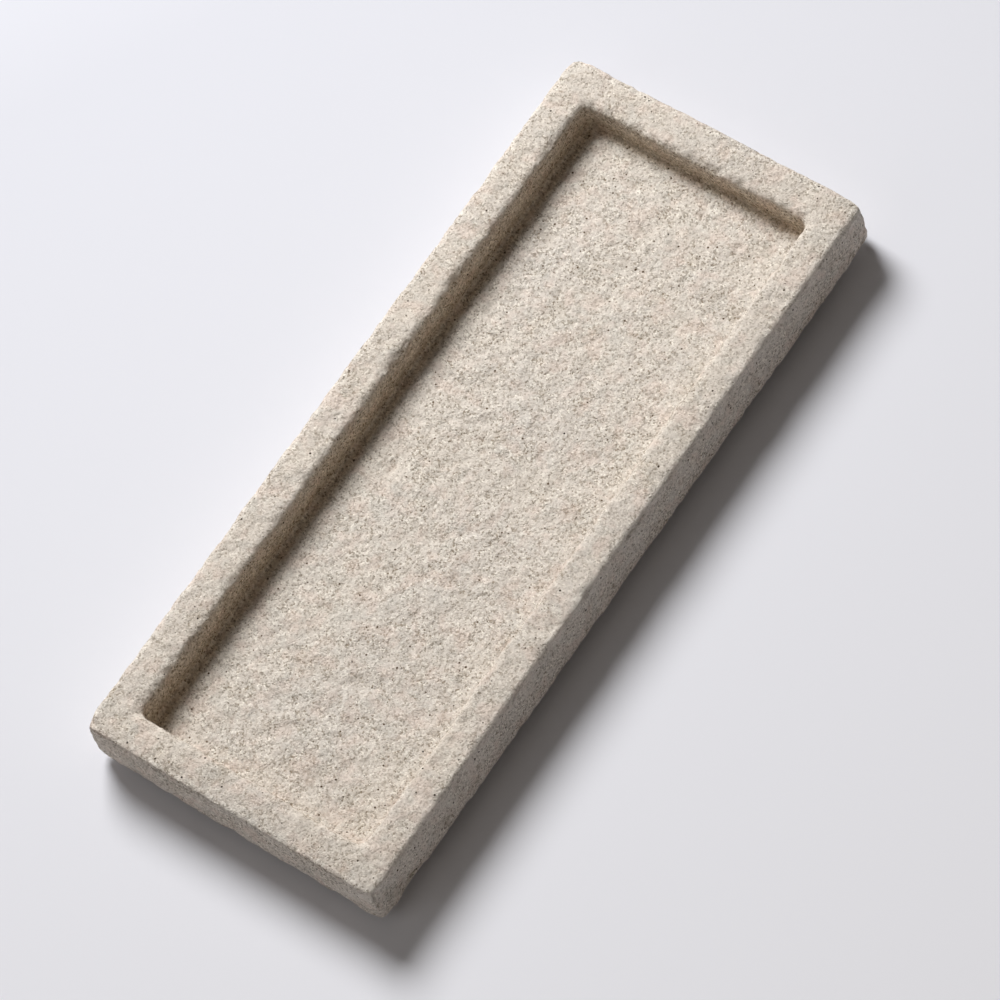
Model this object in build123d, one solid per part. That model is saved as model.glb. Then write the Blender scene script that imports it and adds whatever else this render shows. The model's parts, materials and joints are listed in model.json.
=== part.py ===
from build123d import *
import os

# Shallow stone tray on four small stick-on feet, in millimetres.
# The origin is the middle of the footprint, on the surface that the feet stand on.
# +Y runs along the long sides, +X points at the right-hand long side and +Z is up.

# Slab of sandstone that the tray is cut from
slab_length = 263.0
slab_width = 110.0
slab_thickness = 18.0
top_edge_radius = 2.4  # arris of the rim, worn round
corner_over_arris = 0.4  # the upright corners are rounder than that arris by this much
base_edge_radius = 1.0  # arris of the sawn underside

# Recess milled into the top of the slab
rim_width = 13.2  # flat and lip together, on all four sides
recess_depth = 11.6
recess_corner_radius = 3.2  # upright corners of the recess at its mouth
recess_draft_angle = 2.5  # degrees that the walls lean back from upright
lip_radius = 2.6  # inner arris of the rim, worn round
root_radius = 1.6  # foot of the walls, where they run into the floor

# Stick-on foot: a moulded button that draws in to its sole
foot_diameter = 12.0
foot_height = 3.5
foot_band_height = 0.8  # straight band of the button beside its stuck face
foot_draw_in = 2.0  # how far the side draws in from the band to the sole
foot_shoulder_radius = 0.8  # between the band and the side
foot_inset = 17.0  # middle of a foot in from both outer faces of the slab

# Adhesive disc between a button and the slab
adhesive_margin = 0.6  # how far the disc stays inside the edge of the button
adhesive_thickness = 0.4

# Heights of the faces that the pieces share
slab_underside = foot_height + adhesive_thickness
rim_top = slab_underside + slab_thickness
recess_floor = rim_top - recess_depth

# Middles of the feet, as seen from above with the near end at the bottom
foot_x = slab_width / 2 - foot_inset
foot_y = slab_length / 2 - foot_inset
foot_places = {
    "near_left": (-foot_x, -foot_y),
    "near_right": (foot_x, -foot_y),
    "far_left": (-foot_x, foot_y),
    "far_right": (foot_x, foot_y),
}


def tray_body():
    """The slab with worn arrises, and its recess with leaning walls, a rolled lip and a rounded root."""
    with BuildPart() as body:
        with BuildSketch(Plane.XY.offset(slab_underside)):
            RectangleRounded(slab_width, slab_length, top_edge_radius + corner_over_arris)
        extrude(amount=slab_thickness)
        fillet(body.faces().sort_by(Axis.Z)[0].edges(), radius=base_edge_radius)
        fillet(body.faces().sort_by(Axis.Z)[-1].edges(), radius=top_edge_radius)

        with BuildSketch(Plane.XY.offset(rim_top)):
            RectangleRounded(
                slab_width - 2 * rim_width,
                slab_length - 2 * rim_width,
                recess_corner_radius,
            )
        extrude(amount=-recess_depth, taper=recess_draft_angle, mode=Mode.SUBTRACT)
        floor_edges = body.edges().filter_by_position(Axis.Z, recess_floor, recess_floor)
        fillet(floor_edges, radius=root_radius)
        rim_flat = body.faces().sort_by(Axis.Z)[-1]
        fillet(rim_flat.inner_wires()[0].edges(), radius=lip_radius)
    return body.part


def foot(x, y):
    """A turned button: a straight band, a rounded shoulder and a side drawn in to the flat sole."""
    radius = foot_diameter / 2
    shoulder = (radius, foot_height - foot_band_height)
    with BuildPart() as button:
        with BuildSketch(Plane.XZ) as half:
            with BuildLine():
                Polyline(
                    (0, 0),
                    (radius - foot_draw_in, 0),
                    shoulder,
                    (radius, foot_height),
                    (0, foot_height),
                    close=True,
                )
            make_face()
            fillet(half.vertices().sort_by_distance(shoulder)[0], radius=foot_shoulder_radius)
        revolve(axis=Axis.Z)
    return button.part.moved(Location((x, y, 0)))


def adhesive_disc(x, y):
    """The disc of film that a button is stuck with, a little smaller than its face."""
    with BuildPart() as disc:
        with BuildSketch(Plane.XY.offset(foot_height)):
            with Locations((x, y)):
                Circle(foot_diameter / 2 - adhesive_margin)
        extrude(amount=adhesive_thickness)
    return disc.part


pieces = {"tray_body": tray_body()}
for place, (x, y) in foot_places.items():
    pieces[f"foot_{place}"] = foot(x, y)
    pieces[f"adhesive_disc_{place}"] = adhesive_disc(x, y)

os.makedirs("parts", exist_ok=True)
for name, piece in pieces.items():
    export_step(piece, f"parts/{name}.step")
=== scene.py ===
import json
import math

import bpy
import numpy as np
from mathutils import Matrix, Vector


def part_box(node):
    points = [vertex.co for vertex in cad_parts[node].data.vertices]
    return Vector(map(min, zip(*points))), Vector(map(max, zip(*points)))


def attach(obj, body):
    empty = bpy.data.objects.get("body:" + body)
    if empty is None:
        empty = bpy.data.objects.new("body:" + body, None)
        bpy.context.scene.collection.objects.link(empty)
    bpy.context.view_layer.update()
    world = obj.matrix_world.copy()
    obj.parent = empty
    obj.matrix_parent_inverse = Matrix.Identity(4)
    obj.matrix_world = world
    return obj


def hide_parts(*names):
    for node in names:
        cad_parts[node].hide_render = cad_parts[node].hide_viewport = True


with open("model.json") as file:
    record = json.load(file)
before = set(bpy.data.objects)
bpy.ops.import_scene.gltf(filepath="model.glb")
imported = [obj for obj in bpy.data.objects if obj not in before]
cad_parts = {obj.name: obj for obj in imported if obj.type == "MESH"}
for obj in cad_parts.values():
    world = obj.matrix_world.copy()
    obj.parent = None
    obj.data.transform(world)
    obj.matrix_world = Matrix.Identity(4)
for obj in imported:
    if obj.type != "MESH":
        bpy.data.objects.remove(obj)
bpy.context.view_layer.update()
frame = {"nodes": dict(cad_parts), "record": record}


# Tray body. The real piece is one slab of pale sandstone, sawn flat underneath, with a shallow
# recess milled into its top. Every arris was then worn round by hand, so that the rim, the walls
# and the outer sides all show the same loose, sandy break and no crisp edge is left.

slab_low, slab_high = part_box("tray_body")
slab_width = slab_high.x - slab_low.x
slab_length = slab_high.y - slab_low.y
slab_corner = 0.0028
top_edge = 0.0024  # outer arris of the rim
base_edge = 0.0010
mounts = {m["name"]: m for m in frame["record"]["mounts"]}
recess_floor = mounts["recess_floor"]["pos_m"][2]
rim = 0.0132
mouth_corner = 0.0028  # tighter than the solid's, because the wear opens it out
corner_closing_share = 0.3  # that radius loses this share of every step that the walls come in
lip = 0.0026  # inner arris of the rim
root = 0.0016  # where the walls run into the floor
wall_lean = math.tan(math.radians(2.5))

# Mesh cells across the short side and along the long side, and rows up each stretch of the section
cells_across = 132
cells_along = 328
rows_up = {"base": 4, "side": 18, "top edge": 7, "rim": 12, "lip": 6, "wall": 9, "root": 5}
underside_coarseness = 4
underside_inset = 0.0015

# How far the wear of an arris reaches to either side, and its share of the wear of the top edge
top_edge_reach = 0.0028
lip_reach = 0.0024
base_reach = 0.0015
lip_wear_share = 0.9
base_wear_share = 0.5

# How far the grain stands out on each face, and how uneven the face is
side_grit_share = 1.3
top_edge_grit_share = 1.1
rim_grit_share = 0.85
lip_grit_share = 1.45
wall_grit_share = 1.3
root_grit_share = 1.2
rim_uneven_share = 0.8
calm_uneven_share = 0.6  # outside, at more than the margin from the right and near sides
calm_margin = 0.0005

# Painted shade in the recess, darker and warmer towards the floor, starts halfway round the lip, has this
# share where the lip ends, and is full at the foot of the walls
lip_recess_shade_share = 0.3

# The slab's upright corners each had knocks of their own: the near two, the far left, the far right
corner_reach = 0.004
base_corner_shares = (0.4, 0.6, 1.2)
top_corner_shares = (1.0, 1.9, 0.15)

# The right and near arrises are rubbed rounder, and further down the side than over the rim
rubbed_reach_down = 0.0055
right_rubbed_reach = 0.0024
near_rubbed_reach = 0.0042
right_rubbed_share = 0.85
near_rubbed_share = 1.1

# Painted shade along the feet of the left and far walls, where their shadow falls, and how far past the
# flat floor its middle lies
foot_shade_share = 0.95
foot_shade_reach = 0.0012
foot_shade_past_left = 0.0002
foot_shade_past_far = 0.0009


def fade(distance, reach):
    """A share that is 1 at no distance and falls off smoothly, to about a third at the reach."""
    return np.exp(-((distance / reach) ** 2))


def ring(half_x, half_y, corner, z):
    """Points round a rectangle with round corners, evenly spaced between the middles of its corners."""

    def side(half, out, cells):
        """One side, from the middle of a corner to the next: places along it and how far out they are."""
        straight = half - corner
        length = 2 * straight + corner * math.pi / 2
        along = (np.arange(cells) / cells - 0.5) * length
        turn = np.clip((np.abs(along) - straight) / corner, 0, math.pi / 4)
        flat = np.clip(along, -straight, straight)
        return flat + np.sign(along) * corner * np.sin(turn), out - corner * (1 - np.cos(turn))

    across, out_y = side(half_x, half_y, cells_across)
    along, out_x = side(half_y, half_x, cells_along)
    x = np.concatenate([across, out_x, -across, -out_x])
    y = np.concatenate([-out_y, along, out_y, -along])
    return np.column_stack([x, y, np.full_like(x, z)])


def slab_section():
    """Rings of the slab from the sawn underside, up the side, over the rim and down to the recess floor.
    Each is half a width, half a length, a corner radius and a height, and then five shares: how near it is
    to a worn arris, whether it is outside, how much painted shade it takes in the recess, how uneven, and
    how gritty."""
    half_x, half_y = slab_width / 2, slab_length / 2
    z_low, z_high = slab_low.z, slab_high.z
    quarter = math.pi / 2
    rows = []

    def outer(inset, z, from_arris, reach=top_edge_reach, wear_share=1.0):
        arris = wear_share * fade(from_arris, reach)
        grit = side_grit_share + (top_edge_grit_share - side_grit_share) * arris
        rows.append((half_x - inset, half_y - inset, slab_corner - inset, z, arris, 1, 0, 1, grit))

    def inner(past_mouth, z, from_arris, shelter, grit):
        inset = rim + past_mouth
        corner = mouth_corner - past_mouth * corner_closing_share
        arris = lip_wear_share * fade(from_arris, lip_reach)
        rows.append((half_x - inset, half_y - inset, corner, z, arris, 0, shelter, 1, grit))

    for turn in np.linspace(0, quarter, rows_up["base"]):
        inset, rise = base_edge * (1 - math.sin(turn)), base_edge * (1 - math.cos(turn))
        outer(inset, z_low + rise, base_edge * (turn - quarter / 2), base_reach, base_wear_share)
    arc_half = top_edge * quarter / 2
    for z in np.linspace(z_low + base_edge, z_high - top_edge, rows_up["side"])[1:-1]:
        outer(0, z, z_high - top_edge - z + arc_half)
    for turn in np.linspace(0, quarter, rows_up["top edge"]):
        inset, drop = top_edge * (1 - math.cos(turn)), top_edge * (1 - math.sin(turn))
        outer(inset, z_high - drop, top_edge * (turn - quarter / 2))

    # The flat of the rim, whose outer half counts as outside
    flat = rim - top_edge - lip
    outer_corner = slab_corner - top_edge
    inner_corner = mouth_corner + lip * corner_closing_share
    for share in np.linspace(0, 1, rows_up["rim"])[1:-1]:
        inset = top_edge + flat * share
        size = half_x - inset, half_y - inset, outer_corner + (inner_corner - outer_corner) * share
        arris = fade(flat * share + arc_half, top_edge_reach)
        rows.append((*size, z_high, arris, share < 0.5, 0, rim_uneven_share, rim_grit_share))

    lip_grit_gain = (lip_grit_share - rim_grit_share) / lip_recess_shade_share
    # Share of painted shade in the recess: none on the outer half of the lip, then growing round the lip
    # and down the walls
    for turn in np.linspace(0, quarter, rows_up["lip"]):
        shelter = lip_recess_shade_share * max(turn / (quarter / 2) - 1, 0)
        past, drop = -lip * (1 - math.sin(turn)), lip * (1 - math.cos(turn))
        grit = rim_grit_share + lip_grit_gain * shelter
        inner(past, z_high - drop, lip * (turn - quarter / 2), shelter, grit)
    wall = z_high - recess_floor - lip - root
    for down in np.linspace(0, wall, rows_up["wall"])[1:-1]:
        shelter = lip_recess_shade_share + (1 - lip_recess_shade_share) * down / wall
        inner(down * wall_lean, z_high - lip - down, lip * quarter / 2 + down, shelter, wall_grit_share)
    for turn in np.linspace(0, quarter, rows_up["root"]):
        past, rise = wall * wall_lean + root * (1 - math.cos(turn)), root * (1 - math.sin(turn))
        inner(past, recess_floor + rise, z_high - recess_floor, 1 - turn / quarter, root_grit_share)
    return rows


def sheet(border, border_places, across, along, start):
    """A flat grid inside a ring: its own inner points, numbered on from start, and its upward faces."""
    index = np.empty((along + 1, across + 1), dtype=int)
    index[0, :across] = border[:across]
    index[:along, across] = border[across : across + along]
    index[along, across:0:-1] = border[across + along : 2 * across + along]
    index[along:0:-1, 0] = border[2 * across + along :]
    index[1:along, 1:across] = start + np.arange((along - 1) * (across - 1)).reshape(along - 1, -1)
    low, high = border_places.min(0), border_places.max(0)
    j, i = (steps.ravel() for steps in np.mgrid[1:along, 1:across])
    x = low[0] + (high[0] - low[0]) * i / across
    y = low[1] + (high[1] - low[1]) * j / along
    faces = np.stack([index[:-1, :-1], index[:-1, 1:], index[1:, 1:], index[1:, :-1]], axis=2)
    return np.column_stack([x, y, np.full_like(x, low[2])]), faces.reshape(-1, 4)


def slab_mesh():
    """The slab before wear: rings up its section, a fine grid for the recess floor and a coarse one
    underneath, with the shares that the wear and the stone read as attributes."""
    rows = np.array(slab_section(), dtype=float)
    count = 2 * (cells_across + cells_along)
    rings = [ring(*row[:4]) for row in rows]
    faces = []
    for r in range(len(rows) - 1):
        here = r * count + np.arange(count)
        there = here + count
        faces += np.column_stack([here, np.roll(here, -1), np.roll(there, -1), there]).tolist()

    # The recess floor fills the last ring
    total = len(rows) * count
    last = np.arange(total - count, total)
    floor, floor_faces = sheet(last, rings[-1], cells_across, cells_along, total)
    faces += floor_faces.tolist()
    total += len(floor)

    # A coarse ring inside the first, joined to it by faces with several fine edges, and its filling
    step = underside_coarseness
    half_x, half_y, plan_corner, z = rows[0][:4]
    coarse = ring(half_x - underside_inset, half_y - underside_inset, plan_corner / 2, z)[::step]
    for j in range(len(coarse)):
        fine = [(j * step + k) % count for k in range(step, -1, -1)]
        faces.append([total + j, total + (j + 1) % len(coarse), *fine])
    border = total + np.arange(len(coarse))
    total += len(coarse)
    below, below_faces = sheet(border, coarse, cells_across // step, cells_along // step, total)
    faces += below_faces[:, ::-1].tolist()

    # Shares at each point of the rings, of which the section has given the first five
    place = np.concatenate(rings)
    x, y, z = place.T
    arris, outside, shelter, uneven, grit = np.repeat(rows[:, 4:], count, axis=0).T
    sawn = np.repeat([1.0] + [0.0] * (len(rows) - 1), count)

    # The wear of an upright corner goes over from its share at the base to the one at the top
    to_corner = np.hypot(slab_width / 2 - abs(x), slab_length / 2 - abs(y))
    height = (z - slab_low.z) / (slab_high.z - slab_low.z)
    at_base = np.select([y < 0, x < 0, x >= 0], base_corner_shares)
    at_top = np.select([y < 0, x < 0, x >= 0], top_corner_shares)
    corner = outside * fade(to_corner, corner_reach) * (at_base + (at_top - at_base) * height)

    # A point lies on an arris where it is as far down from the top as in from the side
    to_right, to_near = slab_width / 2 - x, slab_length / 2 + y
    calm = (outside == 1) & (np.minimum(to_right, to_near) > calm_margin)
    uneven = np.where(calm, calm_uneven_share, uneven)
    drop = slab_high.z - z
    rubbed = []
    for to_side, reach_over_rim, share in (
        (to_right, right_rubbed_reach, right_rubbed_share),
        (to_near, near_rubbed_reach, near_rubbed_share),
    ):
        reach = np.where(drop > to_side, rubbed_reach_down, reach_over_rim)
        rubbed.append(outside * share * fade(drop - to_side, reach))

    # Painted shade along the left and far wall feet: on the rings, where only the root of the recess keeps
    # it, and on the floor
    floor_x, floor_y = rings[-1].max(0)[:2]
    foot_shade = []
    for spots in (place, floor):
        from_left = floor_x + spots[:, 0] + foot_shade_past_left
        from_far = floor_y - spots[:, 1] + foot_shade_past_far
        foot_shade.append(foot_shade_share * fade(np.minimum(from_left, from_far), foot_shade_reach))
    in_root = (outside == 0) & (z < recess_floor + root)
    shelter = np.maximum(shelter, foot_shade[0] * in_root)

    mesh = bpy.data.meshes.new("tray_body_stone")
    mesh.from_pydata(np.concatenate([place, floor, coarse, below]).tolist(), [], faces)
    below_count = len(coarse) + len(below)
    # One of these shares carries painted light along the right arris, and one carries painted shade in the
    # recess
    for name, on_rings, on_floor, underneath in (
        ("arris", arris, 0.0, 0.0),
        ("corner", corner, 0.0, 0.0),
        ("rubbed", np.maximum(*rubbed), 0.0, 0.0),
        ("paled", rubbed[0], 0.0, 0.0),
        ("shelter", shelter, foot_shade[1], 0.0),
        ("uneven", uneven, 1.0, 1.0),
        ("grit", grit, 1.0, 1.0),
        ("sawn", sawn, 0.0, 1.0),
    ):
        values = [on_rings, np.full(len(floor), on_floor), np.full(below_count, underneath)]
        attribute = mesh.attributes.new(name, "FLOAT", "POINT")
        attribute.data.foreach_set("value", np.concatenate(values).astype(np.float32))
    mesh.shade_smooth()
    mesh.validate()
    return mesh


def node(tree, kind, settings=None, **inputs):
    """Adds a node, sets its properties, and gives its inputs values or links. An input goes by its name,
    with _ for a space, or by i and its number. A node that is linked gives its first output in use."""
    made = tree.nodes.new(kind)
    for name, value in (settings or {}).items():
        setattr(made, name, value)
    for name, value in inputs.items():
        if name[0] == "i" and name[1:].isdigit():
            socket = made.inputs[int(name[1:])]
        else:
            socket = next(s for s in made.inputs if s.enabled and s.name == name.replace("_", " "))
        if isinstance(value, bpy.types.Node):
            value = next(s for s in value.outputs if s.enabled)
        if isinstance(value, bpy.types.NodeSocket):
            tree.links.new(value, socket)
        else:
            socket.default_value = value
    return made


def worn_stone_tree():
    """Pushes the smooth skin in and out along its normals, as loose sandstone breaks and wears."""
    tree = bpy.data.node_groups.new("worn_sandstone", "GeometryNodeTree")
    tree.is_modifier = True
    face = tree.interface
    face.new_socket("Skin", in_out="INPUT", socket_type="NodeSocketGeometry")
    for name, value in (
        ("Hollow Width", 0.012),
        ("Hollow Height", 0.0006),
        ("Lump Width", 0.005),
        ("Lump Height", 0.0006),
        ("Crumb Width", 0.0017),
        ("Crumb Height", 0.0003),
        ("Bite Width", 0.006),
        ("Arris Bite Depth", 0.0018),
        ("Corner Bite Depth", 0.0022),
        ("Corner Rounding", 0.0009),
        ("Rubbed Depth", 0.0012),
        ("Skin Loss", 0.0002),
        ("Worn Flush", 0.0002),
        ("Dim From", -0.0002),
        ("Dimmest At", -0.0007),
        ("Sawn Share", 0.08),
        ("Seed", 7.3),
    ):
        socket = face.new_socket(name, in_out="INPUT", socket_type="NodeSocketFloat")
        socket.default_value = value
    face.new_socket("Stone", in_out="INPUT", socket_type="NodeSocketMaterial")
    face.new_socket("Stone Body", in_out="OUTPUT", socket_type="NodeSocketGeometry")
    group_in = node(tree, "NodeGroupInput").outputs
    place = node(tree, "GeometryNodeInputPosition")

    # Four noises from about -1 to 1, whose lumps are a width apart, each taken from a place of its own
    waves = {}
    for name, detail, offset in (
        ("Hollow", 1.0, 0.3),
        ("Lump", 2.0, 1.1),
        ("Crumb", 2.0, 2.7),
        ("Bite", 2.0, 4.9),
    ):
        scale = node(tree, "ShaderNodeMath", {"operation": "DIVIDE"}, i0=1.0, i1=group_in[f"{name} Width"])
        start = node(tree, "ShaderNodeCombineXYZ", X=offset, Y=group_in["Seed"], Z=-offset)
        moved = node(tree, "ShaderNodeVectorMath", {"operation": "ADD"}, i0=place, i1=start)
        noise = node(tree, "ShaderNodeTexNoise", Vector=moved, Scale=scale, Detail=detail, Roughness=0.55)
        waves[name] = node(tree, "ShaderNodeMath", {"operation": "MULTIPLY_ADD"}, i0=noise, i1=2.0, i2=-1.0)

    # Each sum adds a factor times a depth or height: the loose relief, the bites, and all other wear
    factor = {"bite": node(tree, "ShaderNodeMath", {"operation": "MAXIMUM"}, i0=waves["Bite"], i1=0.0)}
    for name in ("arris", "corner", "rubbed", "sawn", "uneven"):
        factor[name] = node(tree, "GeometryNodeInputNamedAttribute", {"data_type": "FLOAT"}, Name=name)
    sums = {"loose": 0.0, "bites": 0.0, "wear": group_in["Skin Loss"]}
    for total, times, depth in (
        ("loose", waves["Hollow"], group_in["Hollow Height"]),
        ("loose", waves["Lump"], group_in["Lump Height"]),
        ("loose", waves["Crumb"], group_in["Crumb Height"]),
        ("bites", factor["arris"], group_in["Arris Bite Depth"]),
        ("bites", factor["corner"], group_in["Corner Bite Depth"]),
        ("wear", factor["corner"], group_in["Corner Rounding"]),
        ("wear", factor["rubbed"], group_in["Rubbed Depth"]),
    ):
        so_far = sums[total]
        sums[total] = node(
            tree, "ShaderNodeMath", {"operation": "MULTIPLY_ADD"}, i0=times, i1=depth, i2=so_far
        )
    worn_off = node(
        tree,
        "ShaderNodeMath",
        {"operation": "MULTIPLY_ADD"},
        i0=factor["bite"],
        i1=sums["bites"],
        i2=sums["wear"],
    )
    relief = node(tree, "ShaderNodeMath", {"operation": "SUBTRACT"}, i0=sums["loose"], i1=worn_off)

    # No grain stands proud of the slab's own faces, and the sawn underside is almost flat
    flush = group_in["Worn Flush"]
    relief = node(tree, "ShaderNodeMath", {"operation": "SMOOTH_MIN"}, i0=relief, i1=0.0, i2=flush)
    sawn_share = group_in["Sawn Share"]
    calm = node(tree, "ShaderNodeMix", {"data_type": "FLOAT"}, Factor=factor["sawn"], A=1.0, B=sawn_share)
    for share in (calm, factor["uneven"]):
        relief = node(tree, "ShaderNodeMath", {"operation": "MULTIPLY"}, i0=relief, i1=share)
    normal = node(tree, "GeometryNodeInputNormal")
    push = node(tree, "ShaderNodeVectorMath", {"operation": "SCALE"}, Vector=normal, Scale=relief)

    # Painted shade: the stone is made a little darker in its hollows, so they are marked before the skin
    # moves
    low = node(
        tree,
        "ShaderNodeMapRange",
        Value=sums["loose"],
        From_Min=group_in["Dim From"],
        From_Max=group_in["Dimmest At"],
    )
    marked = node(
        tree,
        "GeometryNodeStoreNamedAttribute",
        {"data_type": "FLOAT", "domain": "POINT"},
        Geometry=group_in["Skin"],
        Name="hollow",
        Value=low,
    )
    moved = node(tree, "GeometryNodeSetPosition", Geometry=marked, Offset=push)
    real = node(tree, "GeometryNodeRealizeInstances", Geometry=moved)
    done = node(tree, "GeometryNodeSetMaterial", Geometry=real, Material=group_in["Stone"])
    node(tree, "NodeGroupOutput", Stone_Body=done)
    return tree


def linear(colour):
    """An sRGB hex colour as linear light, with an alpha of 1."""
    parts = [int(colour[i : i + 2], 16) / 255 for i in (1, 3, 5)]
    return [p / 12.92 if p <= 0.04045 else ((p + 0.055) / 1.055) ** 2.4 for p in parts] + [1.0]


# A pattern's scale is this over the real width of what repeats, in millimetres
mm_per_metre = 1000


def sandstone_material():
    """Quartz sand in a pale lime cement: matt, with no gloss, and a grain that the eye can just count."""
    material = bpy.data.materials.new("sandstone_worn")
    material.use_nodes = True
    tree = material.node_tree
    tree.nodes.clear()
    place = node(tree, "ShaderNodeTexCoord").outputs["Object"]
    field = {}
    # These attributes carry grit, painted light along the right arris, painted shade in the hollows, and
    # painted shade in the recess
    for name in ("grit", "paled", "hollow", "shelter"):
        field[name] = node(tree, "ShaderNodeAttribute", {"attribute_name": name}).outputs["Fac"]

    # Cells for the sand grains and for the iron grains, each with a distance from its middle and with
    # random picks. An iron grain fills a share of its cell.
    least_iron_share = 0.04
    iron_spread_share = 0.12
    for name, width_mm, picks in (
        ("grain", 0.52, ("grain shade", "grain height")),
        ("iron", 2.6, ("iron size", "iron rarity", "iron shade")),
    ):
        scale = mm_per_metre / width_mm
        cells = node(tree, "ShaderNodeTexVoronoi", {"feature": "F1"}, Vector=place, Scale=scale)
        field[f"{name} distance"] = cells.outputs["Distance"]
        split = node(tree, "ShaderNodeSeparateColor", Color=cells.outputs["Color"])
        field.update(zip(picks, split.outputs))
    reach = node(
        tree,
        "ShaderNodeMath",
        {"operation": "MULTIPLY_ADD"},
        i0=field["iron size"],
        i1=iron_spread_share,
        i2=least_iron_share,
    )
    distance = field["iron distance"]
    field["in iron"] = node(tree, "ShaderNodeMath", {"operation": "SUBTRACT"}, i0=reach, i1=distance)

    # Noises: the width of their lumps in millimetres, their detail and their roughness
    for name, width_mm, detail, roughness in (
        ("cement noise", 26, 3, 0.55),
        ("zone noise", 9, 3, 0.6),
        ("brown noise", 9, 4, 0.65),
        ("pink noise", 6, 2, 0.5),
        ("grey noise", 7, 2, 0.5),
        ("pit noise", 1.3, 3, 0.65),
        ("stain noise", 0.9, 2, 0.55),
        ("bedding noise", 14, 4, 0.5),
        ("swell noise", 5, 3, 0.5),
        ("crumb noise", 0.35, 2, 0.55),
    ):
        scale = mm_per_metre / width_mm
        field[name] = node(
            tree, "ShaderNodeTexNoise", Vector=place, Scale=scale, Detail=detail, Roughness=roughness
        )

    # Shares cut out of those fields: where each starts and ends, and what it is at either end
    for name, source, start, end, at_start, at_end in (
        ("cement drift", "cement noise", 0.36, 0.64, 0, 1),
        ("dark grain", "grain shade", 0.0, 0.35, 1, 0),
        ("bright grain", "grain shade", 0.7, 1.0, 0, 1),
        ("loose zone", "zone noise", 0.4, 0.6, 0.65, 1),
        ("packed rim", "grit", 0.87, 0.97, 1, 0),
        ("brown cloud", "brown noise", 0.55, 0.72, 0, 0.25),
        ("pink cloud", "pink noise", 0.5, 0.66, 0, 0.26),
        ("grey cloud", "grey noise", 0.5, 0.68, 0, 0.16),
        # Painted light along the right arris and the top of the right side
        ("pale arris", "paled", 0, 1, 0, 0.52),
        ("pit", "pit noise", 0.55, 0.68, 0, 1),
        # Painted shade in the hollows
        ("dim hollow", "hollow", 0, 1, 0, 0.35),
        # Painted shade in the recess: darkest at the wall feet, and over the walls in mottled patches
        ("wall foot", "shelter", 0.7, 1, 0, 0.3),
        ("wall", "shelter", 0, 0.3, 0, 0.38),
        ("stain", "stain noise", 0.47, 0.57, 0, 1),
        ("iron spot", "in iron", 0.0, 0.03, 0, 1),
        ("kept iron", "iron rarity", 0.35, 0.37, 0, 1),
    ):
        field[name] = node(
            tree,
            "ShaderNodeMapRange",
            Value=field[source],
            From_Min=start,
            From_Max=end,
            To_Min=at_start,
            To_Max=at_end,
        )

    # Products: grains stand bare and pits open where the stone is rough, in among packed zones
    for name, first, second in (
        ("rough", "loose zone", "grit"),
        ("bare grain", "rough", 0.9),
        ("open pit", "pit", "rough"),
        # Painted shade in the open pits
        ("dim pit", "open pit", 0.4),
        # Painted shade on the walls, in mottled patches
        ("stained wall", "wall", "stain"),
        ("iron grain", "iron spot", "kept iron"),
        ("grain dome", "grain distance", "rough"),
        ("grain step", "grain height", "rough"),
        ("crumb", "crumb noise", "grit"),
    ):
        second = field.get(second, second)
        field[name] = node(tree, "ShaderNodeMath", {"operation": "MULTIPLY"}, i0=field[first], i1=second)

    # Colours, each laid over another by a share. The right arris is painted paler, as painted light. The
    # walls are painted darker and browner, most of all at their feet, as painted shade with the warmth of
    # light bounced round the recess.
    for name, share, under, over, mode in (
        ("cement", "cement drift", "#E3D9CD", "#DFD6CC", "MIX"),
        ("grain", "dark grain", "cement", "#8F816D", "MIX"),
        ("grain", "bright grain", "grain", "#FFF8EB", "MIX"),
        ("stone", "bare grain", "cement", "grain", "MIX"),
        ("stone", "packed rim", "stone", "#F8F7F6", "MULTIPLY"),
        ("stone", "brown cloud", "stone", "#C4B39C", "MIX"),
        ("stone", "pink cloud", "stone", "#E8CEC0", "MIX"),
        ("stone", "grey cloud", "stone", "#CACCC6", "MIX"),
        # Painted light along the right arris
        ("stone", "pale arris", "stone", "#F3ECE2", "MIX"),
        # Painted shade in the pits and the hollows
        ("stone", "dim pit", "stone", "#83755F", "MIX"),
        ("stone", "dim hollow", "stone", "#998A76", "MIX"),
        # Painted shade in the recess: warmer, then darker at the wall feet, then mottled over the walls
        ("stone", "shelter", "stone", "#FFF7EB", "MULTIPLY"),
        ("stone", "wall foot", "stone", "#9A938A", "MULTIPLY"),
        ("stone", "stained wall", "stone", "#B3A48C", "MULTIPLY"),
        ("iron", "iron shade", "#2A241E", "#66543F", "MIX"),
        ("stone", "iron grain", "stone", "iron", "MIX"),
    ):
        under, over = (linear(tone) if tone[0] == "#" else field[tone] for tone in (under, over))
        blend = {"data_type": "RGBA", "blend_type": mode}
        field[name] = node(tree, "ShaderNodeMix", blend, Factor=field[share], A=under, B=over)

    # Flakes: low steps with a sloping riser, as the bedding breaks away in thin plates
    flake_steps = 8.0
    riser_share = 0.5
    steps = node(
        tree, "ShaderNodeMath", {"operation": "MULTIPLY"}, i0=field["bedding noise"], i1=flake_steps
    )
    level = node(tree, "ShaderNodeMath", {"operation": "FLOOR"}, i0=steps)
    past = node(tree, "ShaderNodeMath", {"operation": "FRACT"}, i0=steps)
    smooth = {"interpolation_type": "SMOOTHSTEP"}
    riser = node(tree, "ShaderNodeMapRange", smooth, Value=past, From_Max=riser_share)
    field["flake"] = node(tree, "ShaderNodeMath", {"operation": "ADD"}, i0=level, i1=riser)

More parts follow.
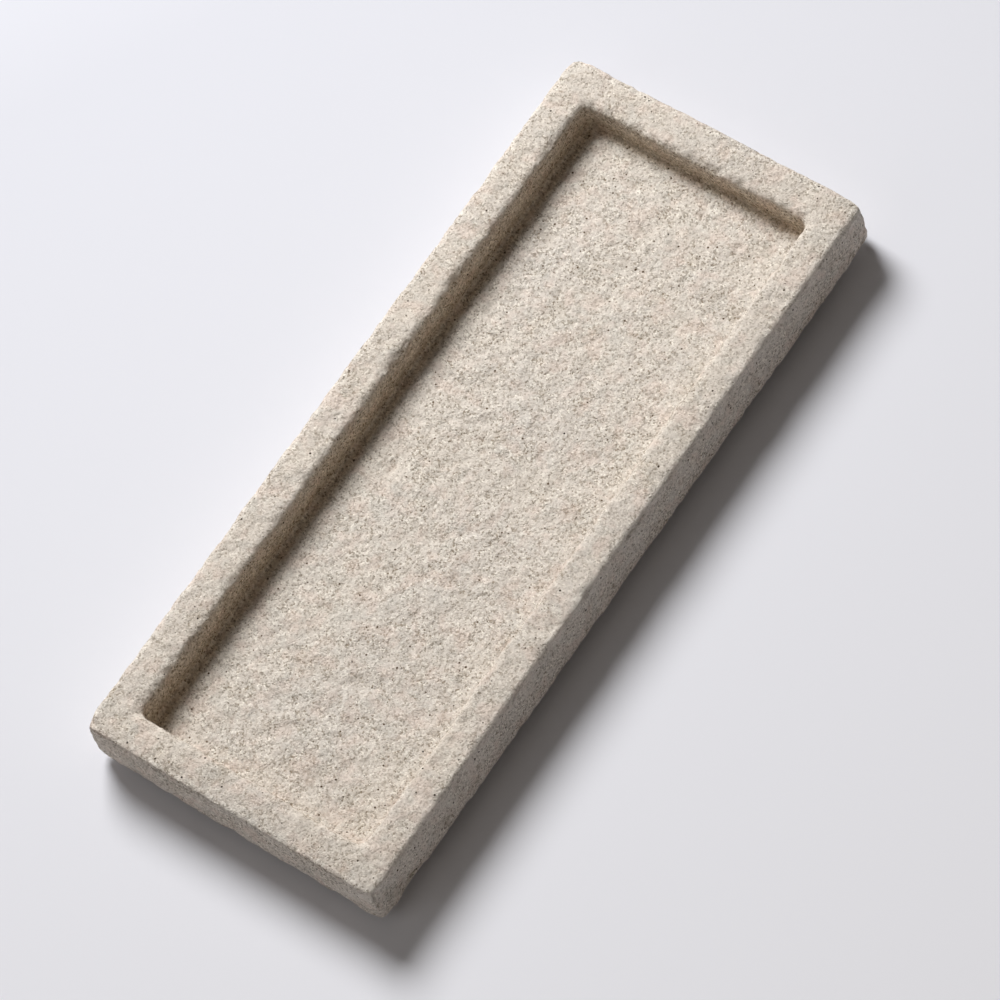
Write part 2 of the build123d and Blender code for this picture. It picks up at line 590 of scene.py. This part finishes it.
    # Heights, in millimetres
    height = 0.0
    for name, rise_mm in (
        ("flake", 0.07),
        ("swell noise", 1.2),
        ("grain dome", -0.12),
        ("grain step", 0.06),
        ("crumb", 0.3),
        ("open pit", -0.18),
    ):
        height = node(
            tree, "ShaderNodeMath", {"operation": "MULTIPLY_ADD"}, i0=field[name], i1=rise_mm, i2=height
        )
    bump = node(tree, "ShaderNodeBump", Strength=1.0, Distance=1 / mm_per_metre, Height=height)
    shader = node(
        tree,
        "ShaderNodeBsdfPrincipled",
        Base_Color=field["stone"],
        Roughness=0.95,
        Specular_IOR_Level=0.2,
        Normal=bump,
    )
    node(tree, "ShaderNodeOutputMaterial", Surface=shader)
    return material


def plain_mesh(piece, name):
    """The evaluated piece as a mesh of its own, in a new object at the origin."""
    graph = bpy.context.evaluated_depsgraph_get()
    mesh = bpy.data.meshes.new_from_object(piece.evaluated_get(graph))
    mesh.name = name
    bpy.data.objects.remove(piece)
    made = bpy.data.objects.new(name, mesh)
    bpy.context.scene.collection.objects.link(made)
    return made


skin = bpy.data.objects.new("tray_skin", slab_mesh())
bpy.context.scene.collection.objects.link(skin)
wearing = skin.modifiers.new("worn_sandstone", "NODES")
wearing.node_group = worn_stone_tree()
sockets = {s.name: s.identifier for s in wearing.node_group.interface.items_tree if s.in_out == "INPUT"}
wearing[sockets["Stone"]] = sandstone_material()
tray = plain_mesh(skin, "tray_stone")
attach(tray, "root")
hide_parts("tray_body")


# Feet. Each is a small button moulded in grey silicone rubber, bought on a sheet and pressed on
# under a corner of the slab. The rubber is matt and slightly dusty, in faint paler clouds.


def clouded_material(name, width_mm, detail, roughness, tones):
    """A material whose colour drifts between two tones, in clouds of a width in millimetres."""
    material = bpy.data.materials.new(name)
    material.use_nodes = True
    tree = material.node_tree
    place = node(tree, "ShaderNodeTexCoord").outputs["Object"]
    clouds = node(tree, "ShaderNodeTexNoise", Vector=place, Scale=mm_per_metre / width_mm, Detail=detail)
    first, second = (linear(tone) for tone in tones)
    colour = node(tree, "ShaderNodeMix", {"data_type": "RGBA"}, Factor=clouds, A=first, B=second)
    shader = tree.nodes["Principled BSDF"]
    tree.links.new(colour.outputs[2], shader.inputs["Base Color"])
    shader.inputs["Roughness"].default_value = roughness
    return material


corners = ("near_left", "near_right", "far_left", "far_right")
rubber = clouded_material(
    "silicone_rubber_moulded", width_mm=1.5, detail=3.0, roughness=0.7, tones=("#8E8A84", "#9C9892")
)
for corner in corners:
    slots = frame["nodes"][f"foot_{corner}"].data.materials
    slots.clear()
    slots.append(rubber)


# Adhesive discs. Each is a disc of clear acrylic film between a foot and the sawn stone. It is
# smoother than the rubber, and shows only as a thin milky line at the edge.

film = clouded_material(
    "acrylic_adhesive_film", width_mm=0.8, detail=2.0, roughness=0.4, tones=("#D8D5CC", "#E4E1DA")
)
for corner in corners:
    slots = frame["nodes"][f"adhesive_disc_{corner}"].data.materials
    slots.clear()
    slots.append(film)


# Studio. A floor of plain pale paper, one soft round lamp high on the left towards the far end, a
# weak fill from the near left, and a warm world that is brightest near the horizon.

lamp_direction = Vector((-8.5, 5.0, 10.25))
fill_direction = Vector((-3.0, -8.0, 6.0))
lamp_distance = 1.15

# Camera rays see paper that darkens towards the lamp, which evens out how the lamp's light falls
# off. All other rays see paper of one plain tone.
floor_size = 8
palest_until = -0.25
darkest_from = 0.2
bpy.ops.mesh.primitive_plane_add(size=floor_size)
floor = bpy.context.object
floor.name = "studio_floor"
paper = bpy.data.materials.new("studio_paper")
paper.use_nodes = True
tree = paper.node_tree
place = node(tree, "ShaderNodeTexCoord").outputs["Object"]
along_floor = Vector((lamp_direction.x, lamp_direction.y, 0)).normalized()
to_lamp = node(tree, "ShaderNodeVectorMath", {"operation": "DOT_PRODUCT"}, i0=place, i1=along_floor)
even = node(tree, "ShaderNodeMapRange", Value=to_lamp, From_Min=palest_until, From_Max=darkest_from)
pale, dark = linear("#FAFAFF"), linear("#CFD0D7")
seen = node(tree, "ShaderNodeMix", {"data_type": "RGBA"}, Factor=even, A=pale, B=dark)
camera_ray = node(tree, "ShaderNodeLightPath").outputs["Is Camera Ray"]
plain = linear("#DADBE2")
tone = node(tree, "ShaderNodeMix", {"data_type": "RGBA"}, Factor=camera_ray, A=plain, B=seen)
shader = tree.nodes["Principled BSDF"]
tree.links.new(tone.outputs[2], shader.inputs["Base Color"])
shader.inputs["Roughness"].default_value = 0.9
floor.data.materials.append(paper)

tray_middle = Vector((0, 0, slab_high.z))
for name, direction, size, energy in (
    ("soft_lamp", lamp_direction, 0.57, 16.9),
    ("weak_fill", fill_direction, 0.8, 1.1),
):
    lamp_data = bpy.data.lights.new(name, "AREA")
    lamp_data.shape = "DISK"
    lamp_data.size = size
    lamp_data.energy = energy
    lamp = bpy.data.objects.new(name, lamp_data)
    lamp.location = tray_middle + direction.normalized() * lamp_distance
    lamp.rotation_euler = direction.to_track_quat("Z", "Y").to_euler()
    bpy.context.scene.collection.objects.link(lamp)

overhead_strength = 0.08
horizon_gain = 0.42
horizon_narrowness = 4.0
world = bpy.data.worlds.new("studio_world")
bpy.context.scene.world = world
world.use_nodes = True
tree = world.node_tree
direction = node(tree, "ShaderNodeTexCoord").outputs["Generated"]
upward = node(tree, "ShaderNodeSeparateXYZ", Vector=direction).outputs["Z"]
low_down = node(tree, "ShaderNodeMapRange", Value=upward, To_Min=1.0, To_Max=0.0)
glow = node(tree, "ShaderNodeMath", {"operation": "POWER"}, i0=low_down, i1=horizon_narrowness)
strength = node(
    tree,
    "ShaderNodeMath",
    {"operation": "MULTIPLY_ADD"},
    i0=glow,
    i1=horizon_gain,
    i2=overhead_strength,
)
background = tree.nodes["Background"]
background.inputs["Color"].default_value = linear("#FFF4E9")
tree.links.new(strength.outputs[0], background.inputs["Strength"])

# Camera at the photograph's angle: a long lens, high over the near right corner and rolled
camera_place = Vector((0.72482, -0.45517, 1.60909))
camera_target = Vector((0.00836, -0.00266, 0.0103))
camera_roll = math.radians(25.129)
camera_data = bpy.data.cameras.new("camera")
camera_data.lens = 215.44
camera_data.sensor_width = 36
camera_data.clip_end = 20
camera = bpy.data.objects.new("camera", camera_data)
view = (camera_place - camera_target).normalized()
turn = view.to_track_quat("Z", "Y").to_matrix().to_4x4()
roll = Matrix.Rotation(-camera_roll, 4, "Z")
camera.matrix_world = Matrix.Translation(camera_place) @ turn @ roll
bpy.context.scene.collection.objects.link(camera)
bpy.context.scene.camera = camera
bpy.context.scene.view_settings.view_transform = "Standard"
